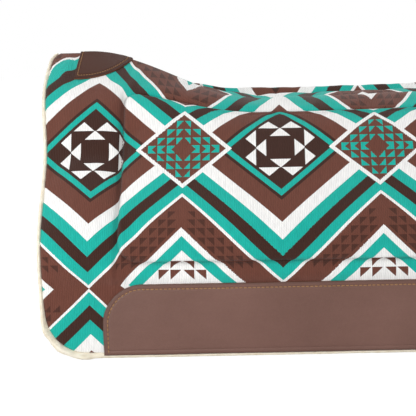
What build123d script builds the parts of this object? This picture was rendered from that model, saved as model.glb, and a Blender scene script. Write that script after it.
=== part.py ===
from build123d import *
import os
from math import atan2, cos, radians, sin, tan

# Contoured Western saddle pad, built up in layers and sewn from two mirrored halves.
# Millimetres. +X runs from the withers end to the tail end, -Y is the left side and +Z is up.
# The origin is on the surface that the two hems stand on, below the middle of the pad.

# ---- overall size
pad_length = 813.0          # along the spine
crest_height = 304.0        # crest beside the spine seam, above the hems
wither_rise = 63.0          # how far the ridge at the withers stands above that crest
rear_rise = 8.0             # how far the crest climbs towards the tail end
wither_flat = 50.0          # length of the level ridge, from the front of the pad
wither_slope = 235.0        # length over which the ridge falls to the back

# ---- cross-section of one half: reach from the spine plane, drop below the crest
spine_crown = 2.0           # height of the unpressed surface over the crest, at the spine
crest_reach = 31.0
valley_depth = 5.0          # depth that the spine seam is pulled down
shoulder_reach = 77.0
shoulder_drop = 12.0
bar_reach = 121.0
bar_drop = 60.0
rib_reach = 157.0
rib_drop = 108.0
flank_reach = 192.0
flank_drop = 162.5
skirt_reach = 200.0
skirt_drop = 223.0
hem_reach = 207.0

# ---- how the withers narrow that cross-section
wither_pitch = 31.0         # slope of the ridge's sides, degrees
wither_shoulder_in = 15.0   # how far the shoulder moves in
wither_shoulder_up = 35.0   # how far the shoulder moves up
wither_flank_in = 7.0       # how far the side below it moves in

# ---- layers, from the outside in
cover_thickness = 2.4
felt_thickness = 14.0
fleece_thickness = 8.0
layer_clearance = 0.3       # between any two soft layers
leather_thickness = 2.4
thread_width = 1.2
thread_height = 0.8
thread_step = 10.0          # spacing of the spine thread's sections
thread_end_gap = 3.0        # from a row of stitching's end to the edge or piece that it runs to
insert_thickness = 7.0      # built-up insert under each saddle bar

# ---- outline of a half, seen from the side
front_lean = 10.0           # how far the front edge leans forward from hem to ridge
corner_radius = 54.0        # lower corners
ridge_corner_radius = 16.0  # where the front edge meets the ridge
ridge_corner_margin = 1.0   # its arc starts this far above the ridge
fleece_rim = 5.0            # fleece that wraps the edge, outside the cover

# ---- wear leathers
leather_end_gap = 76.0      # from the end of the hem to the leather
leather_height = 93.0       # top edge above the hem
leather_radius = 50.0
stitch_inset = 6.0          # from a leather's edge to its stitching

# ---- wither leather, from the front of the pad
patch_start = 36.0
patch_length = 71.0
patch_drop = 33.0           # lower edge below the ridge
patch_stitch_inset = 4.0
patch_tip_share = 2.5       # how much faster its pointed end draws in than its front edge
patch_bend_along = 0.68     # the curve of its lower edge passes here, as a share of its length
patch_bend_up = 0.2         # and this share of its drop above its lowest edge

# ---- built-up panel, outlined by a quilting seam
panel_start = 106.0         # from the front of the pad
panel_end_gap = 100.0       # from the tail end
panel_bottom = 119.0        # above the hems
panel_radius = 26.0
panel_inset = 4.0           # from the quilting seam to the insert
panel_top_drop = 3.0        # quilting seam below the shoulder
panel_top_points = 9        # on the curve of its top edge

# ---- fold along the spine
fold_axis_height = 325.0    # mean height of the curved spine seam
fold_close = 20.0           # the hems can swing this far together, degrees
fold_spread = 12.0          # and this far apart
spine_clearance = 1.0       # from the spine plane to a half, at the axis
tape_clearance = 0.3        # between the halves and what is sewn between them

# ---- sections that a layer is lofted through, over the level ridge, its slope and the back
ridge_sections = 3
slope_sections = 8
back_sections = 11

# ---- depths of the layers' faces below the outer surface
felt_top = cover_thickness + layer_clearance
felt_bottom = felt_top + felt_thickness
fleece_top = felt_bottom + layer_clearance
pad_thickness = fleece_top + fleece_thickness
leather_bottom = -layer_clearance
leather_top = leather_bottom - leather_thickness

front_x = -pad_length / 2
rear_x = pad_length / 2
ridge_height = crest_height + spine_crown + wither_rise
leather_thread_bottom = leather_top - layer_clearance
leather_thread_top = leather_thread_bottom - thread_height
cover_thread_bottom = -layer_clearance
cover_thread_top = cover_thread_bottom - thread_height
overshoot = 12.0            # cutters and untrimmed layers run this far past what they trim
half_width = hem_reach + overshoot
roof = ridge_height + overshoot
recess_inset = fleece_rim - layer_clearance
insert_bottom = felt_top + insert_thickness
pocket_bottom = insert_bottom + layer_clearance

os.makedirs("parts", exist_ok=True)


def ease(value):
    """Smooth step from 0 to 1."""
    held = min(max(value, 0.0), 1.0)
    return held * held * (3.0 - 2.0 * held)


def outer_section(x):
    """Reach and height of the outer surface's points at x, from the spine to the hem."""
    wither = 1.0 - ease((x - front_x - wither_flat) / wither_slope)
    back_start = front_x + wither_flat + wither_slope
    rear = rear_rise * ease((x - back_start) / (rear_x - back_start))
    crown = crest_height + spine_crown + rear
    ridge = crown + wither * wither_rise
    crest = crest_height + rear
    ridge_side = ridge_height - crest_reach * tan(radians(wither_pitch))
    return [
        (0.0, ridge),
        (crest_reach, crest + wither * (ridge_side - crest_height)),
        (
            shoulder_reach - wither * wither_shoulder_in,
            crest - shoulder_drop + wither * wither_shoulder_up,
        ),
        (bar_reach - wither * wither_flank_in, crest_height - bar_drop),
        (rib_reach - wither * wither_flank_in, crest_height - rib_drop),
        (flank_reach - wither * wither_flank_in / 2, crest_height - flank_drop),
        (skirt_reach, crest_height - skirt_drop),
        (hem_reach, 0.0),
        (hem_reach + overshoot * (hem_reach - skirt_reach) / (crest_height - skirt_drop), -overshoot),
    ]


def face_points(x, depth):
    """Points of the layer face that lies depth below the outer surface, on the left half."""
    outer = outer_section(x)
    wither = 1.0 - ease((x - front_x - wither_flat) / wither_slope)
    pressed = valley_depth * (1.0 - wither) * (1.0 - depth / pad_thickness)
    points = []
    for index, (reach, height) in enumerate(outer):
        before = outer[max(index - 1, 0)]
        after = outer[min(index + 1, len(outer) - 1)]
        slope = atan2(before[1] - after[1], after[0] - before[0])
        if reach <= crest_reach:
            sunk = pressed if index == 0 else 0.0
            points.append((-reach, height - depth / cos(slope) - sunk))
        else:
            points.append((-(reach - depth * sin(slope)), height - depth * cos(slope)))
    return points


def spread_evenly(start, end, count):
    """Count values from start to end, both included."""
    return [start + (end - start) * step / (count - 1) for step in range(count)]


def loft_layer(top, bottom):
    """Left half of a layer between two depths, before it is trimmed to an outline."""
    slope_start = front_x + wither_flat
    slope_end = slope_start + wither_slope
    stations = spread_evenly(front_x - overshoot, slope_start, ridge_sections)
    stations += spread_evenly(slope_start, slope_end, slope_sections)[1:]
    stations += spread_evenly(slope_end, rear_x + overshoot, back_sections)[1:]
    sections = []
    for x in stations:
        above = face_points(x, top)
        below = face_points(x, bottom)
        with BuildSketch(Plane.YZ.offset(x)) as section:
            with BuildLine():
                Spline(*above)
                Line(above[-1], below[-1])
                Spline(*reversed(below))
                Line(below[0], above[0])
            make_face()
        sections.append(section.sketch)
    loft(sections)


def trim_to_outline(inset):
    """Keep what lies inside the pad's side outline, drawn in by inset."""
    crown = ridge_height + ridge_corner_margin
    top_x = front_x + inset
    low_x = top_x + front_lean * (crown - inset) / ridge_height
    with BuildSketch(Plane.XZ) as side:
        with BuildLine():
            Polyline(
                (top_x, crown),
                (low_x, inset),
                (rear_x - inset, inset),
                (rear_x - inset, crown),
                close=True,
            )
        outline = make_face()
        lower_corners = outline.vertices().group_by(Axis.Y)[0]
        fillet(lower_corners, corner_radius - inset)
        ridge_corner = side.vertices().group_by(Axis.Y)[-1].sort_by(Axis.X)[0]
        fillet(ridge_corner, ridge_corner_radius)
    extrude(side.sketch, amount=half_width, both=True, mode=Mode.INTERSECT)


def channel_sketch(gap):
    """Cross-section of the space that the folding spine needs, gap wide at the fold axis."""
    above = gap + (roof - fold_axis_height) * tan(radians(fold_spread / 2))
    below = gap + fold_axis_height * tan(radians(fold_close / 2))
    with BuildSketch(Plane.YZ) as channel:
        with BuildLine():
            Polyline(
                (-above, roof),
                (above, roof),
                (gap, fold_axis_height),
                (below, 0.0),
                (-below, 0.0),
                (-gap, fold_axis_height),
                close=True,
            )
        make_face()
    return channel.sketch


def cut_channel():
    """Take the folding space away from a half."""
    extrude(channel_sketch(spine_clearance), amount=pad_length, both=True, mode=Mode.SUBTRACT)


def keep_channel():
    """Keep only what lies in the folding space, clear of both halves."""
    strip = channel_sketch(spine_clearance - tape_clearance)
    extrude(strip, amount=pad_length, both=True, mode=Mode.INTERSECT)


def leather_sketch(inset, low):
    """Side outline of a wear leather above low, drawn in by inset at its ends and top."""
    start = front_x + front_lean + leather_end_gap
    end = rear_x - leather_end_gap
    with BuildSketch(Plane.XZ) as leather:
        with BuildLine():
            Polyline(
                (start + inset, low),
                (end - inset, low),
                (end - inset, leather_height - inset),
                (start + inset, leather_height - inset),
                close=True,
            )
        outline = make_face()
        fillet(outline.vertices().group_by(Axis.Y)[-1], leather_radius - inset)
    return leather.sketch


def patch_sketch(inset):
    """Side outline of the wither leather, drawn in by inset."""
    start = front_x + patch_start + inset
    length = patch_length - patch_tip_share * inset
    low = ridge_height - patch_drop + inset
    tip = (start + length, outer_section(start + length)[0][1])
    with BuildSketch(Plane.XZ) as patch:
        with BuildLine():
            Polyline((start, low), (start, roof), (start + length, roof), tip)
            Spline(
                tip,
                (start + patch_bend_along * length, low + patch_bend_up * patch_drop),
                (start, low),
                tangents=[(-length, -patch_drop - inset), (-1.0, 0.0)],
            )
        make_face()
    return patch.sketch


def panel_sketch(inset):
    """Side outline of the built-up panel, drawn in by inset. Its top follows the shoulder."""
    start = front_x + panel_start + inset
    end = rear_x - panel_end_gap - inset
    low = panel_bottom + inset
    top = []
    for x in spread_evenly(start, end, panel_top_points):
        top.append((x, outer_section(x)[2][1] - panel_top_drop - inset))
    with BuildSketch(Plane.XZ) as panel:
        with BuildLine():
            Spline(*top)
            Line(top[-1], (end, low))
            Line((end, low), (start, low))
            Line((start, low), top[0])
        outline = make_face()
        fillet(outline.vertices().group_by(Axis.Y)[0], panel_radius - inset)
    return panel.sketch


def keep(sketch):
    """Keep what lies behind a side outline."""
    extrude(sketch, amount=half_width, both=True, mode=Mode.INTERSECT)


def ring(outer, inner):
    """Sketch between two outlines, as wide as a row of stitching."""
    with BuildSketch(Plane.XZ) as row:
        add(outer)
        add(inner, mode=Mode.SUBTRACT)
    return row.sketch


def seam_thread_sections(start, end):
    """Sections of the spine seam's thread, between two distances from the front of the pad."""
    count = 2 + int((end - start) / thread_step)
    sections = []
    for x in spread_evenly(front_x + start, front_x + end, count):
        seam, crest = face_points(x, cover_thread_bottom)[:2]
        valley_side = max((crest[1] - seam[1]) / crest_reach, 0.0) * thread_width
        middle = seam[1] + valley_side + thread_height / 2
        with BuildSketch(Plane.YZ.offset(x)) as section:
            with Locations((0.0, middle)):
                Rectangle(thread_width, thread_height)
        sections.append(section.sketch)
    return sections


def write(builder, name):
    """Label a finished piece and write it."""
    builder.part.label = name
    export_step(builder.part, f"parts/{name}.step")


def write_pair(left, right, name):
    """Write both mirrored pieces of a pair."""
    write(left, f"{name}_left")
    write(right, f"{name}_right")


# ---- woven wool cover, one panel for each half
with BuildPart() as woven_cover_left:
    loft_layer(0.0, cover_thickness)
    trim_to_outline(fleece_rim)
    cut_channel()
with BuildPart() as woven_cover_right:
    mirror(woven_cover_left.part, about=Plane.XZ)
write_pair(woven_cover_left, woven_cover_right, "woven_cover")

# ---- inserts under the saddle bars, and the pockets that they need
with BuildPart() as bar_insert_left:
    loft_layer(felt_top, insert_bottom)
    keep(panel_sketch(panel_inset))
with BuildPart() as bar_insert_right:
    mirror(bar_insert_left.part, about=Plane.XZ)
write_pair(bar_insert_left, bar_insert_right, "bar_insert")

with BuildPart() as insert_pocket:
    loft_layer(felt_top - overshoot, pocket_bottom)
    keep(panel_sketch(panel_inset - layer_clearance))

# ---- felt cores, which carry the shape
with BuildPart() as felt_core_left:
    loft_layer(felt_top, felt_bottom)
    trim_to_outline(fleece_rim)
    cut_channel()
    add(insert_pocket.part, mode=Mode.SUBTRACT)
with BuildPart() as felt_core_right:
    mirror(felt_core_left.part, about=Plane.XZ)
write_pair(felt_core_left, felt_core_right, "felt_core")

# ---- fleece linings, which wrap round the edges of cover and felt
with BuildPart() as fleece_recess:
    loft_layer(-overshoot, fleece_top)
    trim_to_outline(recess_inset)

with BuildPart() as fleece_lining_left:
    loft_layer(0.0, pad_thickness)
    trim_to_outline(0.0)
    cut_channel()
    add(fleece_recess.part, mode=Mode.SUBTRACT)
with BuildPart() as fleece_lining_right:
    mirror(fleece_lining_left.part, about=Plane.XZ)
write_pair(fleece_lining_left, fleece_lining_right, "fleece_lining")

# ---- wear leathers over the lower edge of the cover, and the thread that sews them on
with BuildPart() as wear_leather_left:
    loft_layer(leather_top, leather_bottom)
    keep(leather_sketch(0.0, fleece_rim))
with BuildPart() as wear_leather_right:
    mirror(wear_leather_left.part, about=Plane.XZ)
write_pair(wear_leather_left, wear_leather_right, "wear_leather")

# the thread runs up one end of a leather, along its top and down the other end
leather_thread_outer = leather_sketch(stitch_inset, fleece_rim + thread_end_gap)
leather_thread_inner = leather_sketch(stitch_inset + thread_width, 0.0)
with BuildPart() as wear_leather_stitching_left:
    loft_layer(leather_thread_top, leather_thread_bottom)
    keep(ring(leather_thread_outer, leather_thread_inner))
with BuildPart() as wear_leather_stitching_right:
    mirror(wear_leather_stitching_left.part, about=Plane.XZ)
write_pair(wear_leather_stitching_left, wear_leather_stitching_right, "wear_leather_stitching")

# ---- quilting thread round each built-up panel, through the cover
with BuildPart() as quilting_stitching_left:
    loft_layer(cover_thread_top, cover_thread_bottom)
    keep(ring(panel_sketch(0.0), panel_sketch(thread_width)))
with BuildPart() as quilting_stitching_right:
    mirror(quilting_stitching_left.part, about=Plane.XZ)
write_pair(quilting_stitching_left, quilting_stitching_right, "quilting_stitching")

# ---- wither leather, folded over the ridge, and its thread
with BuildPart() as wither_leather:
    loft_layer(leather_top, leather_bottom)
    keep(patch_sketch(0.0))
    mirror(about=Plane.XZ)
write(wither_leather, "wither_leather")

with BuildPart() as wither_leather_stitching:
    loft_layer(leather_thread_top, leather_thread_bottom)
    keep(ring(patch_sketch(patch_stitch_inset), patch_sketch(patch_stitch_inset + thread_width)))
    mirror(about=Plane.XZ)
write(wither_leather_stitching, "wither_leather_stitching")

# ---- what joins the halves along the spine
with BuildPart() as spine_tape:
    loft_layer(0.0, cover_thickness)
    trim_to_outline(fleece_rim)
    mirror(about=Plane.XZ)
    keep_channel()
write(spine_tape, "spine_tape")

with BuildPart() as spine_fleece_strip:
    loft_layer(fleece_top, pad_thickness)
    trim_to_outline(0.0)
    mirror(about=Plane.XZ)
    keep_channel()
write(spine_fleece_strip, "spine_fleece_strip")

# the spine seam's own thread shows only behind the wither leather
with BuildPart() as spine_seam_stitching:
    thread_start = patch_start + patch_length + thread_end_gap
    thread_end = pad_length - fleece_rim - thread_end_gap
    loft(seam_thread_sections(thread_start, thread_end), ruled=True)
write(spine_seam_stitching, "spine_seam_stitching")
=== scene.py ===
import math

import bmesh
import bpy
import numpy as np
from mathutils import Matrix, Vector


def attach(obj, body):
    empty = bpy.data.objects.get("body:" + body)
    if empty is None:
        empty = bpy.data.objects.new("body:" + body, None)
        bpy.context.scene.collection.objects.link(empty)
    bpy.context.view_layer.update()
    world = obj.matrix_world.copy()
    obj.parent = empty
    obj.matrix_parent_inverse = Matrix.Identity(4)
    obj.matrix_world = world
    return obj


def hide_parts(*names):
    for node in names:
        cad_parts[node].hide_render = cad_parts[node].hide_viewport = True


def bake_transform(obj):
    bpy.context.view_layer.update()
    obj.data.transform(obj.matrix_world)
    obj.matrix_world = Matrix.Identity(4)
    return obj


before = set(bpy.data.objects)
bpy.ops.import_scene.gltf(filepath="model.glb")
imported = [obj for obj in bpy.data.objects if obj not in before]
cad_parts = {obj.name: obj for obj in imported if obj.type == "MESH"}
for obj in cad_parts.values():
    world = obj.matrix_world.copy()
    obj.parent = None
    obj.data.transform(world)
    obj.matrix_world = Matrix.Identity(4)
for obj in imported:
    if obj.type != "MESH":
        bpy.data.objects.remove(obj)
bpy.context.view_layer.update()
scene = bpy.context.scene

# Contoured Western saddle pad: woven wool covers, felt, fleece lining and leathers.
# Lengths are in millimetres until a mesh is made. +X runs from the withers end to the
# tail end, -Y is the left side and +Z is up, as in the CAD model.
MM = 0.001

# ---- overall size, as in the CAD model
pad_length = 813.0
crest_height = 304.0
wither_rise = 63.0
rear_rise = 8.0
wither_flat = 50.0
wither_slope = 235.0

# ---- cross-section of one half
spine_crown = 2.0
crest_reach = 31.0
valley_depth = 5.0
shoulder_reach = 77.0
shoulder_drop = 12.0
bar_reach = 121.0
bar_drop = 60.0
rib_reach = 157.0
rib_drop = 108.0
flank_reach = 192.0
flank_drop = 162.5
skirt_reach = 200.0
skirt_drop = 223.0
hem_reach = 207.0
wither_pitch = 31.0
wither_shoulder_in = 15.0
wither_shoulder_up = 35.0
wither_flank_in = 7.0

# ---- outline of a half, seen from the side
front_lean = 10.0
corner_radius = 54.0
ridge_corner_radius = 11.0
ridge_forward = 6.0         # how far the soft edge at the ridge stands forward of the core
ridge_forward_from = 230.0  # height from which it does
ridge_corner_margin = 1.0
fleece_rim = 5.0

# ---- layers, as depths below the outer surface
pad_thickness = 25.0
leather_thickness = 2.4
layer_clearance = 0.3

# ---- leathers and their stitching
leather_end_gap = 76.0
leather_height = 93.0
leather_radius = 50.0
stitch_inset = 6.0
patch_start = 36.0
patch_length = 71.0
patch_drop = 33.0
patch_stitch_inset = 4.0

# ---- built-up panel
panel_start = 106.0
panel_end_gap = 100.0
panel_bottom = 119.0
panel_bottom_radius = 26.0
panel_top_radius = 20.0
panel_top_drop = 6.0        # its top edge below the shoulder, along the surface
right_top_drop = -11.0      # the same on the right half, whose panel is rolled up higher

front_x = -pad_length / 2
rear_x = pad_length / 2
ridge_height = crest_height + spine_crown + wither_rise
crown = ridge_height + ridge_corner_margin
bar_height = crest_height - bar_drop
crease_x = front_x + panel_start  # front and rear of the built-up panel
rear_crease_x = rear_x - panel_end_gap
far_away = 400.0            # more than any distance to an edge


# ---- shape of the pad

def ease(value):
    """Smooth step from 0 to 1."""
    held = np.clip(value, 0.0, 1.0)
    return held * held * (3.0 - 2.0 * held)


def falloff(share):
    """How far a quarter circle of radius 1 has fallen away, 0 at share 0 and 1 at share 1."""
    return 1.0 - np.sqrt(np.maximum(1.0 - np.clip(share, 0.0, 1.0) ** 2, 0.0))


def unit(vectors, axis):
    """Vectors along an axis of an array, brought to length 1."""
    return vectors / np.maximum(np.linalg.norm(vectors, axis=axis, keepdims=True), 1e-12)


def wither_share(x):
    """1 on the level ridge at the withers, 0 on the back."""
    return 1.0 - ease((x - front_x - wither_flat) / wither_slope)


def section_points(x):
    """Reach and height of the outer surface's points at each x, from the spine to the hem."""
    wither = wither_share(x)
    flank_in = wither * wither_flank_in
    back_start = front_x + wither_flat + wither_slope
    rear = rear_rise * ease((x - back_start) / (rear_x - back_start))
    ridge = crest_height + spine_crown + rear + wither * wither_rise
    ridge -= valley_depth * (1.0 - wither)
    crest = crest_height + rear
    ridge_side = ridge_height - crest_reach * math.tan(math.radians(wither_pitch))
    rows = [
        (0.0, ridge),
        (crest_reach, crest + wither * (ridge_side - crest_height)),
        (
            shoulder_reach - wither * wither_shoulder_in,
            crest - shoulder_drop + wither * wither_shoulder_up,
        ),
        (bar_reach - flank_in, bar_height),
        (rib_reach - flank_in, crest_height - rib_drop),
        (flank_reach - flank_in / 2, crest_height - flank_drop),
        (skirt_reach, crest_height - skirt_drop),
        (hem_reach, 0.0),
        (hem_reach + 0.4, -12.0),
    ]
    return np.array([[value + 0.0 * x for value in row] for row in rows])


def run_length(line):
    """Distance along a line to each of its points. line has a row for each axis."""
    return np.concatenate([[0.0], np.cumsum(np.linalg.norm(np.diff(line), axis=0))])


def spline(knots, values, samples):
    """Natural cubic spline through values at knots, read at samples."""
    gaps = np.diff(knots)
    slopes = np.diff(values) / gaps
    system, right = np.eye(len(knots)), np.zeros(len(knots))
    for k in range(1, len(knots) - 1):
        system[k, k - 1 : k + 2] = gaps[k - 1], 2.0 * (gaps[k - 1] + gaps[k]), gaps[k]
        right[k] = 6.0 * (slopes[k] - slopes[k - 1])
    bend = np.linalg.solve(system, right)
    k = np.clip(np.searchsorted(knots, samples, side="right") - 1, 0, len(knots) - 2)
    after = (samples - knots[k]) / gaps[k]
    before = 1.0 - after
    curve = (before**3 - before) * bend[k] + (after**3 - after) * bend[k + 1]
    return before * values[k] + after * values[k + 1] + curve * gaps[k] ** 2 / 6.0


class Surface:
    """Outer surface of the left half. A row is a number: 0 at the spine, 1 at the shoulder,
    2 at the bar's height and then 2 + the share of the way down to the hem."""

    per_row = 60

    def __init__(self):
        self.stations = np.linspace(front_x - 12.0, rear_x + 12.0, 280)
        self.step = self.stations[1] - self.stations[0]
        rows = np.arange(int(3.1 * self.per_row) + 1) / self.per_row
        self.table = np.zeros((3, len(rows), len(self.stations)))
        for column, section in enumerate(section_points(self.stations).transpose(2, 1, 0)):
            knots = run_length(section)
            fine = knots[-1] * np.linspace(0.0, 1.0, 900)
            curve = np.array([spline(knots, values, fine) for values in section])
            arc = run_length(curve)
            shoulder = np.interp(knots[2], fine, arc)
            down = np.arange(len(fine)) > np.searchsorted(fine, knots[2])
            falls, arcs = -curve[1, down], arc[down]
            low = np.interp(-bar_height, falls, arcs)
            places = np.interp(bar_height * (rows - 3.0), falls, arcs)
            places = np.where(rows <= 2.0, shoulder + (rows - 1.0) * (low - shoulder), places)
            places = np.where(rows <= 1.0, rows * shoulder, places)
            self.table[:, :, column] = [*(np.interp(places, arc, line) for line in curve), places]
        # outward normals, as x, reach and height
        both = self.table[:2]
        along = np.stack([np.ones_like(both[0]), *np.gradient(both, self.step, axis=2)])
        down = np.stack([np.zeros_like(both[0]), *np.gradient(both, axis=1)])
        normal = unit(np.cross(down, along, axis=0), 0)
        self.normals = normal * np.sign(normal[1, 2 * self.per_row, 0])

    def read(self, table, x, row):
        """Values of a table at places given by x and row."""
        i = np.clip(row * self.per_row, 0, table.shape[-2] - 1.001)
        j = np.clip((x - self.stations[0]) / self.step, 0, table.shape[-1] - 1.001)
        i0, j0 = np.asarray(i).astype(int), np.asarray(j).astype(int)
        a, b = i - i0, j - j0
        near = table[..., i0, j0] * (1 - b) + table[..., i0, j0 + 1] * b
        far = table[..., i0 + 1, j0] * (1 - b) + table[..., i0 + 1, j0 + 1] * b
        return near * (1 - a) + far * a

    def arc(self, x, row):
        """Distance from the spine along the surface."""
        return self.read(self.table[2:3], x, row)[0]

    def height(self, x, row):
        return self.read(self.table[1:2], x, row)[0]

    def row_at_height(self, z):
        """Row of a height below the bar's."""
        return 3.0 - np.asarray(z) / bar_height

    def point(self, x, row, out):
        """Points of the left half, out above the surface (below it where negative)."""
        reach, height, _ = self.read(self.table, x, row)
        normal = unit(self.read(self.normals, x, row), 0)
        px = x + normal[0] * out
        reach = np.maximum(reach + normal[1] * out, 0.0)
        return np.stack([px, -reach, height + normal[2] * out], axis=-1)


pad = Surface()


def front_setback(z):
    """How far the front edge lies behind front_x at a height: it leans, stands forward at the
    ridge and is rounded at its top."""
    lean = front_lean * (crown - z) / ridge_height
    lean = lean - ridge_forward * ease((z - ridge_forward_from) / 100.0)
    over = np.clip(z - (crown - ridge_corner_radius), 0.0, ridge_corner_radius - 0.01)
    return lean + ridge_corner_radius - np.sqrt(ridge_corner_radius**2 - over**2)


def outline_place(base_x, base_row, inset):
    """x and row of a place in the pad's side outline, drawn in by inset. base_x runs from
    front_x to rear_x and base_row from 0 to 3. Rounded corners stay concentric."""
    base_z = bar_height * (3.0 - base_row)
    low = np.clip(1.0 - base_z / corner_radius, 0.0, 1.0)
    z = np.where(base_row < 2.0, bar_height, base_z + inset * low)
    row = np.where(base_row < 2.0, base_row, pad.row_at_height(z))
    round_off = (corner_radius - inset) * falloff(low)
    setback = front_setback(pad.height(front_x + 20.0, row)) + inset
    from_front, from_rear = base_x - front_x, rear_x - base_x
    x = base_x + setback * (1.0 - ease(from_front / 100.0)) - inset * (1.0 - ease(from_rear / 90.0))
    return x + round_off * (ease(from_rear / 240.0) - ease(from_front / 240.0)), row


widest_rim = 3.4


def rim_extra(x, z):
    """How much wider the fleece shows round the bottom corners than along the sides."""
    from_end = np.minimum(x - front_x, rear_x - x)
    return widest_rim * ease((125.0 - from_end) / 60.0) * ease((80.0 - z) / 60.0)


def spaced(start, end, step):
    """Values from start to end, both included, about step apart."""
    return np.linspace(start, end, max(int(round(abs(end - start) / step)), 1) + 1)


def joined(*runs):
    """Runs of values as one list, without repeats."""
    return np.concatenate([runs[0], *(run[1:] for run in runs[1:])])


def stepped(start, *runs):
    """Values from start through the end of each run, about the run's step apart."""
    values = np.array([start])
    for end, step in runs:
        values = joined(values, spaced(values[-1], end, step))
    return values


def corner_drops(radius, count):
    """Distances from a rounded corner's level edge, 0 to radius, at even angles."""
    return radius * (1.0 - np.cos(np.linspace(0.0, math.pi / 2, count)))


def corner_places(edge, way, radius, count):
    """x and distance from the level edge round a corner that ends at an upright edge. way is
    1 at the rear and -1 at the front."""
    x = edge + way * radius * (np.sin(np.linspace(0.0, math.pi / 2, count)) - 1.0)
    return list(zip(x, corner_drops(radius, count)))


def panel_distance(x, row, top_drop=panel_top_drop):
    """Distance outside the panel's seam, negative inside, along the surface."""
    arc = pad.arc(x, row)
    top = pad.arc(x, 1.0) + top_drop
    bottom = pad.arc(x, pad.row_at_height(panel_bottom))
    across = np.maximum(crease_x - x, x - rear_crease_x)
    above, below = top - arc, arc - bottom
    radius = np.where(above > below, panel_top_radius, panel_bottom_radius)
    up = np.maximum(above, below)
    outer = np.hypot(np.maximum(across + radius, 0.0), np.maximum(up + radius, 0.0))
    return np.minimum(np.maximum(across, up) + radius, 0.0) + outer - radius


def edge_distance(x, row):
    """Rough distance inwards from the pad's outline drawn in by the fleece rim."""
    z = pad.height(x, row)
    front = x - front_x - front_setback(z) - fleece_rim
    hem = np.where(row > 2.0, z - fleece_rim, far_away)
    side = np.minimum(front, rear_x - fleece_rim - x)
    radius = corner_radius - fleece_rim
    corner = (side < radius) & (hem < radius)
    rounded = radius - np.hypot(radius - side, radius - hem)
    return np.where(corner, rounded, np.minimum(side, hem))


# ---- relief of the cover

panel_rise = 5.4
groove_depth = 2.3
strip_rise = 3.4            # of the strips ahead of the panel and below it
seam_dip = 1.2
edge_turn = 2.2


def relief(x, row, top_drop=panel_top_drop):
    """How far the cover stands out of the plain surface, before it is inflated."""
    outside = panel_distance(x, row, top_drop)
    z = pad.height(x, row)
    edge = edge_distance(x, row) - rim_extra(x, z)
    inside = np.maximum(-outside, 0.0)
    wall = 5.5 + 6.0 * ease((panel_bottom + 30.0 - z) / 24.0)
    shoulder = 1.0 - falloff(1.0 - inside / wall)
    raised = panel_rise * shoulder * (1.0 - 0.25 * ease(inside / 60.0))
    flange = 0.4 - (groove_depth + 0.4) * falloff(1.0 - outside / 7.0)
    result = np.where(outside < 0.0, raised - groove_depth * (1.0 - shoulder), flange)
    ahead = ease((crease_x - x) / 6.0) * ease((z - panel_bottom + 30.0) / 30.0)
    ahead *= ease((325.0 - z) / 30.0) * ease((edge - 4.0) / 40.0)
    result += strip_rise * np.sqrt(np.clip((outside - 3.0) / 22.0, 0.0, 1.0)) * ahead
    below = (z < panel_bottom) & (z > leather_height) & (row > 2.0)
    middle = np.sin(np.pi * np.clip((panel_bottom - z) / (panel_bottom - leather_height), 0.0, 1.0))
    result += np.where(below, strip_rise * middle * ease((edge - 40.0) / 60.0), 0.0)
    result -= seam_dip * falloff(1.0 - pad.arc(x, row) / 9.0) * (1.0 - wither_share(x))
    return result - edge_turn * falloff(1.0 - edge / 3.4)


def pulled_down(x, row):
    """True where the cover is held down by stitching or a leather, and so isn't free to puff."""
    near = np.minimum(np.abs(panel_distance(x, row)), edge_distance(x, row))
    near = np.minimum(near, np.abs(pad.arc(x, row)) + 2.0)
    under_leather = (pad.height(x, row) < leather_height + 2.0) & (row > 2.0)
    return (near < 4.0) | under_leather


# ---- meshes

def perimeter(rows, columns):
    """Indices round the outline of a grid."""
    index = np.arange(rows * columns).reshape(rows, columns)
    return np.concatenate([index[0, :-1], index[:-1, -1], index[-1, :0:-1], index[:0:-1, 0]])


def grid_faces(rows, columns, start=0):
    index = start + np.arange(rows * columns).reshape(rows, columns)
    corners = [index[:-1, :-1], index[:-1, 1:], index[1:, 1:], index[1:, :-1]]
    return np.stack(corners, axis=-1).reshape(-1, 4)


def loop_faces(before, after):
    """Faces between two loops of points."""
    return np.stack([np.roll(before, -1), before, after, np.roll(after, -1)], axis=1)


def closed_grid(rows, columns, second):
    """Faces of a closed shell of two grids with the same outline, the second one inside."""
    rim = perimeter(rows, columns)
    inner = grid_faces(rows, columns, second)[:, ::-1]
    return np.concatenate([grid_faces(rows, columns), inner, loop_faces(rim, rim + second)])


def linked(obj):
    scene.collection.objects.link(obj)
    return obj


def make_mesh(name, points, faces, material, cloth=None):
    """A mesh object from points in millimetres. cloth holds three values for each point."""
    mesh = bpy.data.meshes.new(name)
    mesh.from_pydata((np.asarray(points) * MM).tolist(), [], [list(face) for face in faces])
    mesh.validate()
    if cloth is not None:
        attribute = mesh.attributes.new("cloth", "FLOAT_VECTOR", "POINT")
        attribute.data.foreach_set("vector", cloth.astype(np.float32).ravel())
    mesh.polygons.foreach_set("use_smooth", [True] * len(mesh.polygons))
    build = bmesh.new()
    build.from_mesh(mesh)
    bmesh.ops.recalc_face_normals(build, faces=build.faces)
    build.to_mesh(mesh)
    build.free()
    mesh.materials.append(material)
    return linked(bpy.data.objects.new(name, mesh))


def mirrored(points):
    """The same points on the right half."""
    return points * np.array([1.0, -1.0, 1.0])


# ---- materials

def set_inputs(node, inputs):
    """Link or set a node's inputs, given by name or index."""
    for key, value in dict(inputs).items():
        value = value.value if isinstance(value, Number) else value
        if isinstance(value, bpy.types.NodeSocket):
            node.id_data.links.new(value, node.inputs[key])
        else:
            node.inputs[key].default_value = value


def add_node(tree, kind, inputs=(), **settings):
    node = tree.nodes.new("ShaderNode" + kind)
    for key, value in settings.items():
        setattr(node, key, value)
    set_inputs(node, inputs)
    return node


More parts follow.
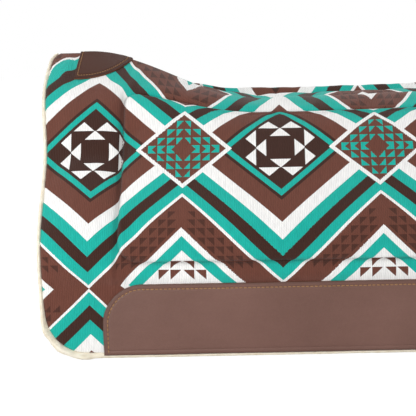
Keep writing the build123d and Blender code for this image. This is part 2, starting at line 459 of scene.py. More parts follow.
class Number:
    """A number worked out by a material's nodes; value is the socket that gives it."""

    def __init__(self, value):
        self.value = value

    def __rsub__(self, other):
        return worked_out("SUBTRACT", other, self)

    def folded(self, period):
        """Distance to the nearest whole multiple of period."""
        return worked_out("PINGPONG", self, period / 2)

    def held(self):
        """The number kept between 0 and 1."""
        return worked_out("ADD", self, 0.0, clamp=True)


def worked_out(operation, *items, clamp=False):
    """Number that a math node makes of numbers and constants."""
    tree = next(item for item in items if isinstance(item, Number)).value.id_data
    node = add_node(tree, "Math", enumerate(items), operation=operation, use_clamp=clamp)
    return Number(node.outputs[0])


for method, node_name in {
    "__add__": "ADD", "__radd__": "ADD", "__sub__": "SUBTRACT", "__mul__": "MULTIPLY",
    "__rmul__": "MULTIPLY", "__truediv__": "DIVIDE", "__gt__": "GREATER_THAN",
    "__lt__": "LESS_THAN", "abs": "ABSOLUTE", "floor": "FLOOR", "fraction": "FRACT",
    "sine": "SINE", "least": "MINIMUM", "most": "MAXIMUM",
}.items():
    setattr(Number, method, lambda *items, name=node_name: worked_out(name, *items))


def linear(red, green, blue):
    """A colour written in sRGB, 0 to 255, as the shader reads it."""
    out = []
    for part in (red, green, blue):
        part /= 255.0
        out.append(part / 12.92 if part <= 0.04045 else ((part + 0.055) / 1.055) ** 2.4)
    return (*out, 1.0)


def mixed(share, first, second):
    """Colour between first, where share is 0, and second, where it is 1."""
    inputs = {"Factor": share, 6: first, 7: second}
    return add_node(share.value.id_data, "Mix", inputs, data_type="RGBA").outputs[2]


def dimmed(colour, amount):
    """Colour times a number near 1."""
    inputs = {0: colour, "Scale": amount}
    return add_node(colour.id_data, "VectorMath", inputs, operation="SCALE").outputs[0]


def new_material(name, roughness, specular):
    """A material and its node tree."""
    material = bpy.data.materials.new(name)
    material.use_nodes = True
    shader = material.node_tree.nodes["Principled BSDF"]
    set_inputs(shader, {"Roughness": roughness, "Specular IOR Level": specular})
    return material, material.node_tree


def coordinates(tree):
    """Place in the part."""
    return add_node(tree, "TexCoord").outputs["Object"]


def on_cloth(tree):
    """The cloth attribute of a place, whole and as its three numbers."""
    place = add_node(tree, "Attribute", attribute_name="cloth").outputs["Vector"]
    return place, *map(Number, add_node(tree, "SeparateXYZ", {0: place}).outputs)


def noise(place, scale, detail=2.0, roughness=0.5, stretch=None):
    """Noise from 0 to 1; scale is in cycles for each unit of place."""
    if stretch:
        inputs = {"Vector": place, "Scale": stretch}
        place = add_node(place.id_data, "Mapping", inputs).outputs[0]
    inputs = {"Vector": place, "Scale": scale, "Detail": detail, "Roughness": roughness}
    return Number(add_node(place.id_data, "TexNoise", inputs).outputs["Fac"])


def cells(place, scale):
    """Distance to the nearest cell centre, from 0 to about 1."""
    inputs = {"Vector": place, "Scale": scale}
    return Number(add_node(place.id_data, "TexVoronoi", inputs).outputs["Distance"])


def finished(material, colour, height, depth, **more):
    """The material with its colour, a relief of depth metres times height, and more inputs."""
    bump = {"Height": height, "Distance": depth, "Strength": 1.0}
    inputs = {"Base Color": colour, "Normal": add_node(material.node_tree, "Bump", bump).outputs[0]}
    set_inputs(material.node_tree.nodes["Principled BSDF"], {**inputs, **more})
    return material


# ---- the woven pattern. Motifs repeat every 186 units along the pad and every 298 down it. A
# motif's colour depends on how far a place is from its centre along both axes together, which
# is what draws the diamonds. A unit is 1.3 mm along the pad and 1.2 mm down it.
pitch_along = 186.0
pitch_down = 298.0
unit_along = 246.0 / pitch_along  # the pattern repeats every 246 mm
unit_down = 1.213
thread = 0.65               # the pattern's steps, in units

dark = linear(61, 36, 28)
brown = linear(105, 62, 50)
teal = linear(24, 174, 160)
white = linear(241, 240, 238)
rings = [(48.8, teal), (56.8, dark), (61.5, brown), (85.0, white), (102.0, teal)]
rings += [(117.0, dark), (132.0, teal), (145.5, white), (149.0, brown)]


def half_squares(i, j, size):
    """1 in the outward half of each cell of a size, with a thin gap round it."""
    across, down = i.fraction(), j.fraction()
    inside = (across < 1.0 - 0.5 / size) * (down < 1.0 - 0.5 / size)
    return ((across + down) > 1.02) * inside


def woven_colour(u, v):
    """Colour of the woven cloth at a place on it, in millimetres from a large motif's centre."""
    a = (((u / unit_along / thread).floor() + 0.5) * thread).folded(pitch_along)
    b = (((v / unit_down / thread).floor() + 0.5) * thread).folded(pitch_down)
    far = a + b
    layers = [(far > limit, ring) for limit, ring in rings]

    # white points of the star in the large diamond
    most, least = a.most(b), a.least(b)
    inner = (most > 13.6) * ((most + least) < 23.6)
    outer = (most > 23.6) * (((least - 11.0).abs() + most) < 33.6)
    layers.append((inner.most(outer), white))

    # rhombus between four large diamonds
    a_far = pitch_along / 2 - a
    b_far = pitch_down / 2 - b
    near = a_far + b_far
    cell = 8.7
    i, j = (a_far - 4.5) / cell, (b_far - 7.3) / cell
    count = i.floor() + j.floor()
    filled = (count > 4.5) * (count < 7.5) * (i > 0.0) * (j > 1.0)
    shade = half_squares(i, j, cell) * filled
    shade = shade * (near < 91.0) * (near > 60.0)
    layers.append((shade * 0.72, dark))
    layers += [(near < limit, ring) for limit, ring in ((60.0, white), (52.0, teal), (38.0, white))]
    cell = 11.3
    i, j = a_far / cell, (b_far + 6.1) / cell
    filled = ((i.floor() + j.floor()) < 2.5) * (near < 38.0) * (b_far > 5.2)
    shade = half_squares(i, j, cell) * filled
    layers.append((shade, brown))

    # small diamond between two large ones
    near = a_far + b
    layers += [(near < 46.3, white), (near < 40.9, brown)]
    middle_column = a_far < 7.25
    middle_row = b < 4.9
    i = (a_far / 7.25) * middle_column + ((a_far - 7.25) / 9.35 + 1.0) * (1.0 - middle_column)
    j = (b / 4.9) * middle_row + ((b - 4.9) / 9.6 + 1.0) * (1.0 - middle_row)
    count = i.floor() + j.floor()
    usual = half_squares(i, j, 9.0)
    notch = ((i.fraction() / 0.5 + j.fraction()) > 1.05) * (i.fraction() < 0.93)
    notch = notch * (i > 1.0) * (j.fraction() < 0.9)
    shade = (usual * (1.0 - middle_row) + notch * middle_row) * (count > 0.5) * (count < 3.5)
    layers.append((shade * (near < 40.0), teal))

    colour = dark
    for share, layer in layers:
        colour = mixed(share, colour, layer)
    return colour


def sheen(weight, roughness):
    return {"Sheen Weight": weight, "Sheen Roughness": roughness}


def woven_material():
    """Woven wool cover: dense ribbed cloth with slightly uneven threads."""
    material, tree = new_material("woven_wool", 0.92, 0.08)
    place, u, v, shade = on_cloth(tree)
    wander = noise(place, 0.09, 2.0) * 1.2
    rib = ((u + wander) * (2 * math.pi / 2.2)).sine()
    pick = ((v + u * 0.5) * (2 * math.pi / 1.7)).sine()
    weave = rib * 0.5 + pick * 0.5
    slub = noise(place, 0.35, 3.0, 0.6, (1.0, 0.25, 1.0))
    patch = noise(place, 0.02, 2.0)
    tone = 0.98 + weave * 0.16 + (slub - 0.5) * 0.32 + (patch - 0.5) * 0.08
    # the colour is darkened by painted shade in the stitched creases, the cloth attribute's third
    # value
    colour = dimmed(woven_colour(u, v), tone * (1.0 - shade))
    return finished(material, colour, weave * 0.5 + slub * 0.6, 0.0005, **sheen(0.12, 0.6))


def fleece_material():
    """Cream wool fleece: short clumped pile."""
    material, tree = new_material("fleece_pile", 0.95, 0.08)
    place = coordinates(tree)
    clumps = cells(place, 130.0)
    fine = noise(place, 900.0, 4.0, 0.7)
    broad = noise(place, 14.0, 2.0)
    share = (clumps * 0.7 + fine * 0.35 + (broad - 0.5) * 0.3).held()
    colour = mixed(share, linear(228, 214, 186), linear(250, 244, 228))
    return finished(material, colour, clumps * 0.6 + fine * 0.5, 0.0014, **sheen(0.25, 0.5))


def leather_material(name, base, deep, specular):
    """Smooth oiled leather with a fine grain, darker towards its worn edges."""
    material, tree = new_material(name, 0.5, specular)
    place = coordinates(tree)
    grain = cells(place, 900.0)
    pores = noise(place, 420.0, 4.0, 0.6)
    mottle = noise(place, 9.0, 4.0, 0.55)
    scuffs = noise(place, 60.0, 5.0, 0.7, (0.25, 1.0, 1.0))
    share = ((mottle - 0.5) * 1.1 + (pores - 0.5) * 0.5 + (scuffs - 0.5) * 0.4 + 0.45).held()
    colour = mixed(share, deep, base)
    inward = on_cloth(tree)[3]
    near = (1.0 - inward / 5.0).held()
    burnished = near * near * 0.75
    colour = mixed(burnished, colour, linear(60, 38, 31))
    colour = mixed((inward < 0.35) * 0.7, colour, linear(112, 72, 54))
    rough = 0.46 + (pores - 0.5) * 0.22 + (mottle - 0.5) * 0.12
    return finished(material, colour, grain * 0.5 + pores * 0.7, 0.00035, Roughness=rough)


def thread_material(name, base, deep):
    """Twisted waxed thread."""
    material, tree = new_material(name, 0.7, 0.3)
    twist = noise(coordinates(tree), 1500.0, 2.0)
    return finished(material, mixed(twist.held(), deep, base), twist, 0.0003)


def felt_material():
    """Pressed grey-brown felt, fibres lying every way."""
    material, tree = new_material("pressed_felt", 0.95, 0.1)
    place = coordinates(tree)
    fibres = noise(place, 700.0, 5.0, 0.75)
    flecks = noise(place, 160.0, 3.0, 0.6)
    share = (fibres * 0.6 + flecks * 0.4).held()
    colour = mixed(share, linear(150, 143, 132), linear(214, 208, 196))
    return finished(material, colour, fibres, 0.0008)


woven = woven_material()
pile = fleece_material()
leather = leather_material("wear_leather", linear(121, 87, 77), linear(97, 66, 56), 0.35)
dark_leather = leather_material("wither_leather", linear(80, 49, 39), linear(62, 38, 30), 0.08)
tan_thread = thread_material("leather_thread", linear(178, 138, 98), linear(132, 96, 62))
brown_thread = thread_material("cover_thread", linear(96, 66, 54), linear(58, 40, 34))
felt = felt_material()


# ---- woven covers

large_motif_x = -97.6       # middle of the large diamond in the middle of the left side
hidden_in_front = 8.1       # cloth taken up by the crease along the panel's front
hidden_on_top = 20.0        # and by the crease along its top
hidden_below = 4.0
seam_v = -121.0             # place of the spine seam on the cloth, at the back
far_crease_v = -79.0        # place of the right panel's top crease on its cloth
far_roll = 15.0             # how much higher the top of the right panel is rolled up


def over_the_panel(x):
    """0 in front of the panel's front crease, 1 behind it."""
    return ease((x - crease_x + 10.0) / 20.0)


def painted_crease_shade(x, row, top_drop):
    """Painted shade in the cloth where its stitching pulls it into a crease, from 0 to 1."""
    outside = panel_distance(x, row, top_drop)
    in_front = ease((crease_x + 12.0 - x) / 12.0) * ease((pad.height(x, row) - 150.0) / 40.0)
    narrow = (0.2 + 0.25 * in_front) * np.exp(-((outside / 2.0) ** 2))
    beside = np.clip((crease_x - x) / 3.0, 0.0, 1.0)
    # painted shade where the cloth turns away beside the panel's front crease
    turned = 0.3 * np.exp(-((outside / 8.0) ** 2)) * beside * in_front
    return np.maximum(narrow, turned)


def cloth_left(x, row):
    """Place on the flat cloth of the left cover, from a large motif's centre, and its painted
    shade.
    """
    arc, bar = pad.arc(x, row), pad.arc(x, 2.0)
    top = pad.arc(x, 1.0) + panel_top_drop
    z = pad.height(x, row)
    inside = arc - top
    wither = wither_share(x)
    back = 1.0 - wither
    over_panel = over_the_panel(x)
    in_rows = ease((inside + 30.0) / 30.0) * ease((z - panel_bottom + 40.0) / 40.0)
    sharp = 1.0 - ease((x - crease_x + 6.0) / 11.0)
    wide = 1.0 - ease((x - crease_x + 60.0) / 120.0)
    u = x - large_motif_x - hidden_in_front * (sharp * in_rows + wide * (1.0 - in_rows))

    # in front of the panel the cloth is stretched near the ridge and pulled back at the edge
    plain = arc - bar + 0.33 * np.maximum(61.0 - arc, 0.0)
    plain += 13.0 * ease((34.0 - x + front_x) / 20.0) * (1.0 - ease((arc - 30.0) / 40.0))
    # on the panel it rolls over the top edge
    edge_share = ease(1.3 * back)
    rolled = (3.2 * ease((35.0 - inside) / 30.0) + 8.5 * ease((10.0 - inside) / 8.0)) * edge_share
    on_panel = arc - bar - rolled
    # above it, what the crease doesn't hide is spread as far as the seam
    tucked = hidden_on_top * back**1.5
    crease_v = top - bar - 11.7 * edge_share - tucked
    end_v = seam_v - 27.0 * np.clip((wither - 0.4) / 0.45, 0.0, 1.0) ** 1.5
    share = 1.0 - (1.0 - np.clip(-inside / top, 0.0, 1.0)) ** (1.2 + 1.2 * back)
    above = crease_v + (end_v - crease_v) * share + tucked * (1.0 - ease(-inside / 2.5))
    v = np.where(inside < 0.0, above, on_panel)
    v = plain + (v - plain) * over_panel
    v = v + hidden_below * ease((panel_bottom + 3.0 - z) / 6.0) * over_panel * (row > 2.0)
    return np.stack([u, v, painted_crease_shade(x, row, panel_top_drop)], axis=-1)


def cloth_right(x, row):
    """Place on the flat cloth of the right cover, which mirrors the left one."""
    u = x - large_motif_x + 3.0
    arc, bar = pad.arc(x, row), pad.arc(x, 2.0)
    top = pad.arc(x, 1.0) + right_top_drop
    inside = arc - top
    back = (1.0 - wither_share(x)) * over_the_panel(x)
    plain = arc - bar - far_roll * back * ease(inside / 12.0)
    share = np.clip(-inside / top, 0.0, 1.0)
    squeezed = far_crease_v + (seam_v - far_crease_v) * share
    wall = far_crease_v + (far_roll - 2.0) * ease(inside / 10.0)
    below = wall + (plain - wall) * ease((inside - 4.0) / 30.0)
    v = np.where(inside < 0.0, squeezed, below)
    # the third value is the painted shade of the creases
    return np.stack([u, plain + (v - plain) * back, painted_crease_shade(x, row, right_top_drop)], axis=-1)


last_frame = 20
lift_cap = 4.5              # the most that the air lifts the cover


def inflate(points, held):
    """Points of a sheet of cloth after air pressure has lifted it between its stitched lines."""
    faces = np.roll(grid_faces(*held.shape)[:, ::-1], 1, axis=1)
    mesh = bpy.data.meshes.new("cloth_trial")
    mesh.from_pydata((points.reshape(-1, 3) * MM).tolist(), [], faces.tolist())
    obj = linked(bpy.data.objects.new("cloth_trial", mesh))
    group = obj.vertex_groups.new(name="held")
    group.add(np.flatnonzero(held.ravel()).tolist(), 1.0, "REPLACE")
    modifier = obj.modifiers.new("cloth", "CLOTH")
    settings = {
        "quality": 6, "mass": 0.2, "tension_stiffness": 10.0, "compression_stiffness": 10.0,
        "shear_stiffness": 4.0, "bending_stiffness": 0.3, "vertex_group_mass": "held",
        "shrink_min": -0.02, "use_pressure": True, "uniform_pressure_force": 4.0,
    }
    for key, value in settings.items():
        setattr(modifier.settings, key, value)
    modifier.settings.effector_weights.gravity = 0.0
    modifier.collision_settings.use_collision = False
    modifier.point_cache.frame_start = 1
    modifier.point_cache.frame_end = last_frame
    for number in range(1, last_frame + 1):
        scene.frame_set(number)
    evaluated = obj.evaluated_get(bpy.context.evaluated_depsgraph_get())
    out = np.zeros(len(mesh.vertices) * 3, np.float32)
    evaluated.data.vertices.foreach_get("co", out)
    scene.frame_set(1)
    bpy.data.objects.remove(obj)
    bpy.data.meshes.remove(mesh)
    return out.reshape(points.shape).astype(float) / MM


def resampled(values, old_rows, old_columns, new_rows, new_columns):
    """A grid of values read on finer rows and columns, without corners."""
    across = np.array([np.interp(new_columns, old_columns, line) for line in values])
    return np.array([np.interp(new_rows, old_rows, line) for line in across.T]).T


def blurred(values, times):
    """Values averaged with their neighbours in a grid; its edges stay."""
    out = values.copy()
    for _ in range(times):
        inner = out[:-2, 1:-1] + out[2:, 1:-1] + out[1:-1, :-2] + out[1:-1, 2:]
        out[1:-1, 1:-1] = 0.5 * out[1:-1, 1:-1] + 0.125 * inner
    return out


low_rows = stepped(
    bar_height, (panel_bottom + 10.0, 3.2), (panel_bottom - 9.0, 1.1),
    (leather_height - 7.0, 1.9), (corner_radius, 4.0),
)
cover_rows = joined(
    stepped(0.0, (0.12, 0.013), (0.78, 0.034), (1.23, 0.014), (2.0, 0.05)),
    pad.row_at_height(joined(low_rows, corner_drops(corner_radius, 19)[::-1])),
)
cover_columns = stepped(
    front_x, (crease_x - 14.0, 3.1), (crease_x + 10.0, 1.1), (rear_crease_x - 10.0, 3.6),
    (rear_crease_x + 12.0, 1.2), (rear_x, 3.2),
)


def place_grid(rows, columns, inset):
    """A grid of places, drawn in by inset from the outline, and by more at the corners."""
    base_row, base_x = np.meshgrid(rows, columns, indexing="ij")
    base_z = np.where(base_row < 2.0, far_away, bar_height * (3.0 - base_row))
    inset = inset * (1.0 + rim_extra(base_x, base_z) / fleece_rim)
    return outline_place(base_x, base_row, inset)


def cover_lift():
    """How far the cover's air lifts it, on the rows and columns of the cover's own grid."""
    coarse_rows = stepped(0.0, (1.0, 0.085), (2.0, 0.1), (3.0, 0.026))
    coarse_columns = spaced(front_x, rear_x, 7.0)
    x, row = place_grid(coarse_rows, coarse_columns, fleece_rim)
    start = pad.point(x, row, 0.6 * relief(x, row))
    held = pulled_down(x, row)
    held[0] = held[-1] = True
    held[:, 0] = held[:, -1] = True
    lifted = inflate(start, held)
    normal = pad.point(x, row, 1.0) - pad.point(x, row, 0.0)
    lift = ((lifted - start) * normal).sum(axis=-1)
    lift = lift_cap * np.tanh(lift / lift_cap)
    return blurred(resampled(lift, coarse_rows, coarse_columns, cover_rows, cover_columns), 8)


def under_patch(x, row):
    """1 where the wither leather holds the cover down, 0 away from it."""
    start = front_x + patch_start
    along = ease((x - start + 14.0) / 12.0) * ease((start + patch_length + 14.0 - x) / 12.0)
    return along * ease((pad.height(x, row) - ridge_height + patch_drop + 16.0) / 14.0)


def make_cover(name, lift, right):
    x, row = place_grid(cover_rows, cover_columns, fleece_rim)
    lift = lift * (1.0 - under_patch(x, row))
    out = relief(x, row, right_top_drop if right else panel_top_drop)
    if right:
        inside = pad.arc(x, row) - pad.arc(x, 1.0) - right_top_drop
        roll = ease(inside / 9.0) * (1.0 - ease((inside - 10.0) / 90.0)) * (1.0 - wither_share(x))
        lift = lift * ease(np.abs(inside) / 12.0)
        out = out + far_roll * roll * ease(-panel_distance(x, row, right_top_drop) / 8.0)
    out = out + lift
    inner = np.clip(out - 2.2, -4.6, 2.5)
    points = np.concatenate([pad.point(x, row, at).reshape(-1, 3) for at in (out, inner)])
    flat = (cloth_right if right else cloth_left)(x, row).reshape(-1, 3)
    points = mirrored(points) if right else points
    faces = closed_grid(*x.shape, x.size)
    return make_mesh(name, points, faces, woven, cloth=np.concatenate([flat, flat]))


lift = cover_lift()
cover_left = make_cover("cover_left", lift, False)
cover_right = make_cover("cover_right", lift, True)


# ---- pieces with a rim

def banded(name, place, bands, size, material):
    """A closed piece from two grids and the loops between their outlines. place(inset, out,
    stage) gives the points of a grid; bands holds (inset, out), outer grid first. The third
    part of the cloth attribute says how far in from the edge a point is."""
    rim = perimeter(*size)
    points, faces = [], [grid_faces(*size)]
    depths, count, previous = [], 0, None
    for stage, (inset, out) in enumerate(bands):
        whole = stage in (0, len(bands) - 1)
        grid = place(inset, out, stage).reshape(-1, 3)
        points.append(grid if whole else grid[rim])
        loop = count + (rim if whole else np.arange(len(rim)))
        if stage:
            faces.append(loop_faces(previous, loop))
        previous = loop
        depths += [(0.0, 0.0, max(inset, 0.0))] * len(points[-1])
        count += len(points[-1])
    faces.append(grid_faces(*size, count - size[0] * size[1])[:, ::-1])
    points, faces = np.concatenate(points), np.concatenate(faces)
    return make_mesh(name, points, faces, material, cloth=np.array(depths))


def soft_noise(points, size, seed):
    """Smooth random values from -1 to 1 that change over about size millimetres."""
    state = np.random.default_rng(seed)
    total = np.zeros(points.shape[:-1])
    for _ in range(10):
        direction = state.normal(size=3)
        direction *= 2 * math.pi / (size * 2.0 * np.linalg.norm(direction))
        total += np.sin(points @ direction + state.uniform(0, 2 * math.pi))
    return np.tanh(total / 2.6)


# ---- fleece lining, which wraps round the whole edge
low_rows = joined(spaced(bar_height, corner_radius, 4.3), corner_drops(corner_radius, 15)[::-1])
fleece_rows = joined(stepped(0.0, (1.0, 0.055), (2.0, 0.066)), pad.row_at_height(low_rows))
fleece_columns = spaced(front_x, rear_x, 4.2)
tuft_height = 1.3


def both_halves(half):
    """A grid of the left half carried on over the spine to the right hem."""
    return np.concatenate([half[::-1], mirrored(half)[1:]])


def fleece_place(inset, out, stage):
    """A layer of the fleece: puffed and uneven round the bottom corners, tufted elsewhere."""
    x, row = place_grid(fleece_rows, fleece_columns, inset)
    corner = rim_extra(x, pad.height(x, row)) / widest_rim
    half = pad.point(x, row, out)
    if 2 < stage < 11:
        puffed = corner * ease((84.0 - np.minimum(x - front_x, rear_x - x)) / 24.0)
        half = pad.point(x, row, out + puffed * (2.6 + 1.6 * soft_noise(half, 15.0, 8)))
        half[..., 0] += 1.4 * np.sign(x) * corner * (0.2 + soft_noise(half, 12.0, 9))
    points = both_halves(half)
    if stage > 2:
        inward = both_halves(pad.point(x, row, out - 1.0) - half)
        tufts = 0.5 + 0.5 * soft_noise(points, 6.0, 5) * soft_noise(points, 9.0, 6)
        points = points - inward * (tuft_height * tufts)[..., None]
    points[..., 2] = np.maximum(points[..., 2], 0.15)
    return points


fleece_bands = [(7.0, -17.0), (5.6, -4.0), (5.0, -1.4), (3.9, 0.2), (2.4, 0.2), (1.0, -1.4)]
fleece_bands += [(0.2, -4.0), (0.0, -8.5), (0.0, -14.0), (0.3, -19.0), (1.6, -22.8)]
fleece_bands += [(4.2, -pad_thickness), (8.0, -pad_thickness - 0.6)]
size = (2 * len(fleece_rows) - 1, len(fleece_columns))
fleece = banded("fleece_lining", fleece_place, fleece_bands, size, pile)


# ---- leathers

leather_start = front_x + front_lean + leather_end_gap
leather_end = rear_x - leather_end_gap
leather_low = fleece_rim


def leather_outline(base_x, base_z, inset):
    """x and z of a place in a wear leather's outline, drawn in by inset."""
    up = np.clip(1.0 - (leather_height - base_z) / leather_radius, 0.0, 1.0)
    from_low = np.clip(1.0 - (base_z - leather_low) / 30.0, 0.0, 1.0)
    z = base_z - inset * up + inset * from_low
    shift = inset + (leather_radius - inset) * falloff(up)
    x = base_x + shift * (1.0 - ease((base_x - leather_start) / 200.0))
    return x - shift * (1.0 - ease((leather_end - base_x) / 200.0)), z


leather_heights = joined(
    leather_height - corner_drops(leather_radius, 22),
    spaced(leather_height - leather_radius, leather_low, 4.0),
)
leather_columns = spaced(leather_start, leather_end, 4.0)
leather_out = layer_clearance + leather_thickness


def leather_sway(x, z):
    """Slight unevenness of a wear leather."""
    return 0.45 * np.sin(x / 37.0) * np.sin(z / 23.0 + x / 90.0) + 0.2


def leather_place(inset, out, stage):
    base_z, base_x = np.meshgrid(leather_heights, leather_columns, indexing="ij")
    x, z = leather_outline(base_x, base_z, inset)
    return pad.point(x, pad.row_at_height(z), out + leather_sway(x, z))


def right_leather_place(inset, out, stage):
    return mirrored(leather_place(inset, out, stage))


def leather_bands(line):
    """Bands of a leather with a rounded edge and a stitching groove line inside it."""
    top = [line + away for away in (6.0, 3.0, 1.7, 0.9, 0.3, -0.4, -1.2, -2.2)] + [1.6]
    bands = [(at, leather_out - 0.75 * math.exp(-(((at - line) / 0.9) ** 2))) for at in top]
    bands += [(0.8, leather_out - 0.15), (0.25, leather_out - 0.55), (0.0, leather_out - 1.1)]
    bands += [(0.0, leather_out - 2.0), (0.5, layer_clearance - 0.6)]
    return bands + [(line + 6.0, layer_clearance - 0.8)]


def wear_leather(name, place):
    bands, size = leather_bands(stitch_inset), (len(leather_heights), len(leather_columns))
    return banded(name, place, bands, size, leather)


wear_leather_left = wear_leather("wear_leather_cover_left", leather_place)
wear_leather_right = wear_leather("wear_leather_cover_right", right_leather_place)


# ---- wither leather, folded over the ridge
def patch_outline(share, side, inset):
    """x and row of a place on the wither leather: share runs along it, side from -1 to 1."""
    x = front_x + patch_start + inset + (patch_length - 2.5 * inset) * share
    drop = (patch_drop - inset) * (1.0 - share**2.3) ** 0.85 + 1.0
    drop = drop * (1.0 + 0.10 * share * (1.0 - share))
    rows = np.linspace(0.0, 1.2, 121)
    row = np.zeros_like(x)
    for column in range(x.shape[1]):
        heights = pad.height(x[0, column], rows)
        row[:, column] = np.interp(drop[:, column], heights[0] - heights, rows)
    return x, row * np.abs(side)


def turned_over(points, side):
    """Points of the left half, moved to the right where side is above 0. They are changed."""
    points[..., 1] = np.where(side > 0, -points[..., 1], points[..., 1])
    return points


def patch_place(inset, out, stage):
    sides, shares = np.linspace(-1.0, 1.0, patch_size[0]), np.linspace(0.0, 1.0, patch_size[1])
    side, share = np.meshgrid(sides, shares, indexing="ij")
    x, row = patch_outline(share, side, inset)
    return turned_over(pad.point(x, row, out + 0.3), side)


patch_size = (41, 30)
bands = leather_bands(patch_stitch_inset)
wither_piece = banded("wither_leather_cover", patch_place, bands, patch_size, dark_leather)


# ---- stitching

wear_stitch = (5.4, 4.3, 0.75)  # pitch, length and radius of the thread
wither_stitch = (3.6, 2.8, 0.55)
quilting_stitch = (4.2, 2.8, 0.34)
spine_stitch = (4.6, 3.6, 0.55)


def stitches(name, path, normals, size, material):
    """Separate stitches along a path, each a small rounded piece of thread."""
    pitch, length, radius = size
    run = run_length(path.T)
    count = max(int(run[-1] / pitch), 1)
    middles = (np.arange(count) + 0.5) * run[-1] / count
    rings, turns = np.array([-1.0, -0.8, -0.3, 0.3, 0.8, 1.0]), 7
    at = middles[:, None] + rings * length / 2
    spots = np.stack([np.interp(at, run, path[:, k]) for k in range(3)], axis=-1)
    up = np.stack([np.interp(middles, run, normals[:, k]) for k in range(3)], axis=-1)
    forward = unit(spots[:, -1] - spots[:, 0], 1)
    side = unit(np.cross(forward, up), 1)
    up = np.cross(side, forward)
    full = np.where(np.abs(rings) < 1.0, radius * np.sqrt(1.0 - rings**4), 0.08)[:, None]
    arch = (0.35 * radius * (1.0 - rings**2) - 0.15 * radius)[:, None]
    angle = 2 * math.pi * np.arange(turns) / turns
    upward, sideways = arch + full * np.sin(angle), full * np.cos(angle)
    points = spots[:, :, None] + up[:, None, None] * upward[..., None]
    points = points + side[:, None, None] * sideways[..., None]
    corners = np.arange(len(rings) * turns).reshape(-1, turns)
    one = [corners[0, ::-1], corners[-1]]
    for before, after in zip(corners, corners[1:]):
        one.extend(loop_faces(before, after))
    faces = [start * corners.size + face for start in range(count) for face in one]
    return make_mesh(name, points.reshape(-1, 3), faces, material)


def seam(x, row, out, right):
    """Line of stitching at places of the surface, and its normals."""
    path = pad.point(x, row, out)
    normals = pad.point(x, row, 1.0) - pad.point(x, row, 0.0)
    return (mirrored(path), mirrored(normals)) if right else (path, normals)


def leather_seam(right):
    """Line of stitching inside a wear leather's front, top and rear edges, and its normals."""
    radius = leather_radius - stitch_inset
    low_z, high_z = leather_low + 3.0, leather_height - stitch_inset
    first, last = leather_start + stitch_inset, leather_end - stitch_inset
    rise = [(first, z) for z in spaced(low_z, high_z - radius, 3.0)]
    rise += [(x, high_z - drop) for x, drop in corner_places(first, -1, radius, 40)[-2::-1]]
    top = [(x, high_z) for x in spaced(first + radius, last - radius, 6.0)[1:-1]]
    fall = [(first + last - x, z) for x, z in reversed(rise)]
    x, z = np.array(rise + top + fall).T
    out = leather_out + leather_sway(x, z) - 0.3
    return seam(x, pad.row_at_height(z), out, right)


seam_left = stitches("wear_stitches_left", *leather_seam(False), wear_stitch, tan_thread)
seam_right = stitches("wear_stitches_right", *leather_seam(True), wear_stitch, tan_thread)


def patch_seam():
    """Closed line of stitching inside the wither leather's edge."""
    shares, sides, ends = np.linspace(0.0, 1.0, 60), np.linspace(-1.0, 1.0, 60), np.ones(60)
    runs = [(0.0 * ends, sides), (shares, ends), (ends[:3], np.array([1.0, 0.0, -1.0]))]
    runs.append((shares[::-1], -ends))
    points, normals = [], []
    for share, side in runs:
        x, row = patch_outline(share[None, :], side[None, :], patch_stitch_inset)
        at = pad.point(x, row, leather_out)[0]
        up = at - pad.point(x, row, leather_out - 1.0)[0]
        points.append(turned_over(at, side))
        normals.append(turned_over(up, side))
    return np.concatenate(points), np.concatenate(normals)


wither_seam = stitches("wither_stitches", *patch_seam(), wither_stitch, tan_thread)


def panel_seam(right):
    """Line of quilting in the groove round the built-up panel."""
    top_drop = right_top_drop if right else panel_top_drop
    bottom = pad.row_at_height(panel_bottom)
    top_run = spaced(crease_x + panel_top_radius, rear_crease_x - panel_top_radius, 5.0)
    low_run = spaced(rear_crease_x - panel_bottom_radius, crease_x + panel_bottom_radius, 5.0)
    top = [(x, 0.0) for x in top_run] + corner_places(rear_crease_x, 1, panel_top_radius, 20)[1:]
    low = corner_places(rear_crease_x, 1, panel_bottom_radius, 20)[::-1]
    low += [(x, 0.0) for x in low_run[1:]]
    low += corner_places(crease_x, -1, panel_bottom_radius, 20)[1:]
    last = corner_places(crease_x, -1, panel_top_radius, 20)[::-1]
    fine = np.linspace(0.5, 3.0, 600)
    places, rows = top + low + last, []
    for k, (x, away) in enumerate(places):
        on_low = len(top) <= k < len(top) + len(low)
        arc = pad.arc(x, bottom) - away if on_low else pad.arc(x, 1.0) + top_drop + away
        rows.append(np.interp(arc, pad.arc(x, fine), fine))
    x = np.array([place[0] for place in places])
    return seam(x, np.array(rows), -groove_depth + 0.1, right)


quilt_left = stitches("quilting_left", *panel_seam(False), quilting_stitch, brown_thread)
quilt_right = stitches("quilting_right", *panel_seam(True), quilting_stitch, brown_thread)


def spine_line(start, end, out):
    x = spaced(front_x + start, front_x + end, 6.0)
    path = pad.point(x, 0.0, 0.0) * np.array([1.0, 0.0, 1.0]) + np.array([0.0, 0.0, out])
    return path, np.tile([0.0, 0.0, 1.0], (len(x), 1))


spine_path = spine_line(patch_start + patch_length + 3.0, pad_length - fleece_rim - 3.0, -0.9)
spine_seam = stitches("spine_stitches", *spine_path, spine_stitch, brown_thread)


# ---- tape under the spine seam, and the felt
x, side = np.meshgrid(spaced(front_x + 34.0, rear_x - 7.0, 6.0), np.linspace(-1.0, 1.0, 7))
grids = [pad.point(x, np.abs(side) * 0.1, out) for out in (-2.6, -4.2)]
points = np.concatenate([turned_over(grid, side).reshape(-1, 3) for grid in grids])
tape = make_mesh("spine_tape_strip", points, closed_grid(*x.shape, x.size), felt)

for name in ("felt_core_left", "felt_core_right", "bar_insert_left", "bar_insert_right"):
    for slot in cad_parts[name].material_slots:
        slot.material = felt
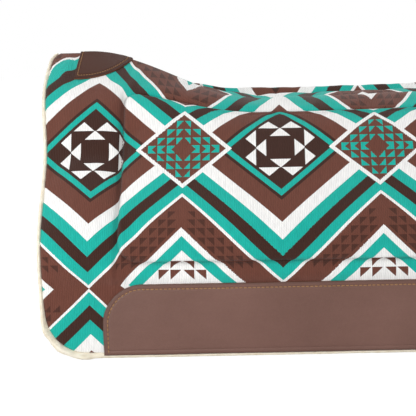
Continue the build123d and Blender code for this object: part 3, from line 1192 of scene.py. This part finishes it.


# ---- bodies of the pieces, and the CAD parts they replace

left, right = "left_side", "right_side"
both = None                 # pieces that lie across the fold, attached to neither side
facts = [
    (cover_left, both, "woven_cover", "woven_cover_left"),
    (cover_right, both, "woven_cover", "woven_cover_right"),
    (fleece, both, "fleece", "fleece_lining_left", "fleece_lining_right", "spine_fleece_strip"),
    (wear_leather_left, left, "wear_leather", "wear_leather_left"),
    (wear_leather_right, right, "wear_leather", "wear_leather_right"),
    (wither_piece, both, "wither_leather", "wither_leather"),
    (seam_left, left, "leather_thread", "wear_leather_stitching_left"),
    (seam_right, right, "leather_thread", "wear_leather_stitching_right"),
    (wither_seam, both, "leather_thread", "wither_leather_stitching"),
    (quilt_left, left, "cover_thread", "quilting_stitching_left"),
    (quilt_right, right, "cover_thread", "quilting_stitching_right"),
    (spine_seam, both, "cover_thread", "spine_seam_stitching"),
    (tape, both, "woven_cover", "spine_tape"),
]
for piece, body, slot_name, *nodes in facts:
    if body is both:
        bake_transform(piece)
    else:
        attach(piece, body)
    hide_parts(*nodes)


# ---- light, floor and camera
world_light = 0.41          # of the world on the pad, as a share of white
floor_glow = 1.17           # of the floor where the camera sees it

middle = Vector((0.0, 0.0, 0.18))
lamps = {  # place, size and power
    "key": ((-1.15, -1.4, 0.65), 1.1, 17.5),
    "fill": ((1.6, -2.4, 1.6), 2.0, 18.0),
    "top": ((0.0, 0.4, 2.6), 2.4, 18.0),
    "back": ((0.2, 2.6, 1.6), 2.0, 23.0),
}
for name, (place, size, power) in lamps.items():
    light = bpy.data.lights.new(name, "AREA")
    light.shape = "DISK"
    light.size = size
    light.energy = power
    lamp = linked(bpy.data.objects.new(name, light))
    lamp.location = place
    lamp.rotation_euler = (middle - Vector(place)).to_track_quat("-Z", "Y").to_euler()


def seen_directly(tree):
    """1 for what the camera sees straight on, or in a mirror or glass."""
    outputs = add_node(tree, "LightPath").outputs
    rays = ("Is Camera Ray", "Is Glossy Ray", "Is Transmission Ray")
    camera, glossy, through = (Number(outputs[ray]) for ray in rays)
    return camera.most(glossy).most(through)


def white_world():
    """Paper white for what is seen, and softer light on the pad."""
    world = bpy.data.worlds.new("studio")
    scene.world = world
    world.use_nodes = True
    soft = (world_light, world_light, world_light, 1.0)
    shade = mixed(seen_directly(world.node_tree), soft, (1.0, 1.0, 1.0, 1.0))
    set_inputs(world.node_tree.nodes["Background"], {"Color": shade})


def floor_material():
    material, tree = new_material("studio_floor", 0.9, 0.1)
    shader = tree.nodes["Principled BSDF"]
    set_inputs(shader, {"Base Color": (0.82, 0.82, 0.82, 1.0)})
    glow = add_node(tree, "Emission", {"Strength": floor_glow}).outputs[0]
    shares = {0: seen_directly(tree) * 0.8, 1: shader.outputs[0], 2: glow}
    mix = add_node(tree, "MixShader", shares)
    set_inputs(tree.nodes["Material Output"], {"Surface": mix.outputs[0]})
    return material


white_world()
reach = 7.0
floor_mesh = bpy.data.meshes.new("studio_floor")
corners = [(-reach, -reach, 0), (reach, -reach, 0), (reach, reach, 0), (-reach, reach, 0)]
floor_mesh.from_pydata(corners, [], [(0, 1, 2, 3)])
floor_mesh.materials.append(floor_material())
linked(bpy.data.objects.new("studio_floor", floor_mesh))

camera_place = Vector((-0.1110, -1.2057, 0.3914))
camera_tilt = math.radians(11.579)
camera_roll = math.radians(1.143)
camera_data = bpy.data.cameras.new("camera")
camera_data.sensor_width = 36.0
camera_data.lens = 73.9
camera_data.shift_x = -0.1515
camera = linked(bpy.data.objects.new("camera", camera_data))
scene.camera = camera
camera.matrix_world = (
    Matrix.Translation(camera_place)
    @ Matrix.Rotation(math.pi / 2 - camera_tilt, 4, "X")
    @ Matrix.Rotation(-camera_roll, 4, "Z")
)
scene.view_settings.view_transform = "Standard"
